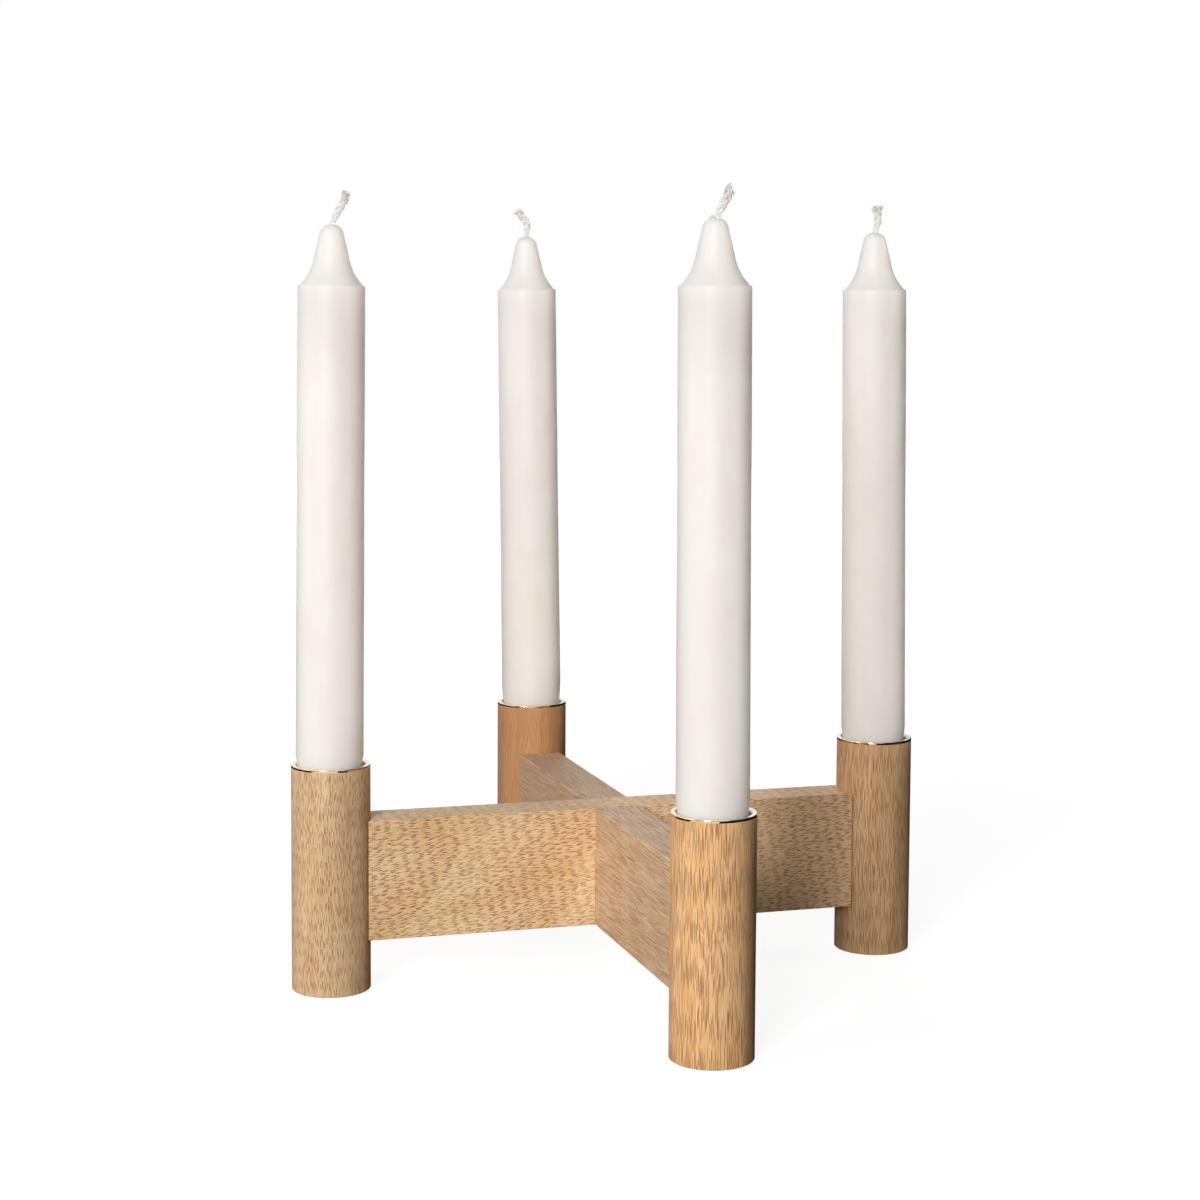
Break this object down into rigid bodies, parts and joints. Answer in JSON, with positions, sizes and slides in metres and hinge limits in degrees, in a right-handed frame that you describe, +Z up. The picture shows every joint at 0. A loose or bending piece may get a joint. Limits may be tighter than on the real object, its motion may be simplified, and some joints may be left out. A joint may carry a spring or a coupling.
{
  "type": "advent candle holder",
  "caption": "Wooden advent candle holder: crossed half-lapped bars between round posts, with brass candle cups and white crown candles that lift out.",
  "frame": {"origin": "on the table, at the middle of the cross", "axes": "+X to the right along the left-right bar, +Y to the back along the front-back bar, +Z up"},
  "size_m": [0.219, 0.235, 0.2625],
  "materials": {
    "wood": "oiled, open pores",
    "dowel_wood": "plain beech",
    "brass": "polished",
    "wax": "smooth satin wax",
    "wick": "braided cotton"
  },
  "bodies": {
    "holder": {"left_right_bar": "wood", "front_back_bar": "wood", "left_post": "wood", "left_lower_dowel": "dowel_wood", "left_upper_dowel": "dowel_wood", "left_cup": "brass", "right_post": "wood", "right_lower_dowel": "dowel_wood", "right_upper_dowel": "dowel_wood", "right_cup": "brass", "front_post": "wood", "front_lower_dowel": "dowel_wood", "front_upper_dowel": "dowel_wood", "front_cup": "brass", "back_post": "wood", "back_lower_dowel": "dowel_wood", "back_upper_dowel": "dowel_wood", "back_cup": "brass"},
    "left_light": {"left_candle": "wax", "left_wick": "wick"},
    "right_light": {"right_candle": "wax", "right_wick": "wick"},
    "front_light": {"front_candle": "wax", "front_wick": "wick"},
    "back_light": {"back_candle": "wax", "back_wick": "wick"}
  },
  "joints": [
    {"name": "left_candle_lift", "type": "slide", "parent": "holder", "child": "left_light", "axis": [0, 0, 1], "range_m": [0, 0.03]},
    {"name": "right_candle_lift", "type": "slide", "parent": "holder", "child": "right_light", "axis": [0, 0, 1], "range_m": [0, 0.03]},
    {"name": "front_candle_lift", "type": "slide", "parent": "holder", "child": "front_light", "axis": [0, 0, 1], "range_m": [0, 0.03]},
    {"name": "back_candle_lift", "type": "slide", "parent": "holder", "child": "back_light", "axis": [0, 0, 1], "range_m": [0, 0.03]}
  ]
}
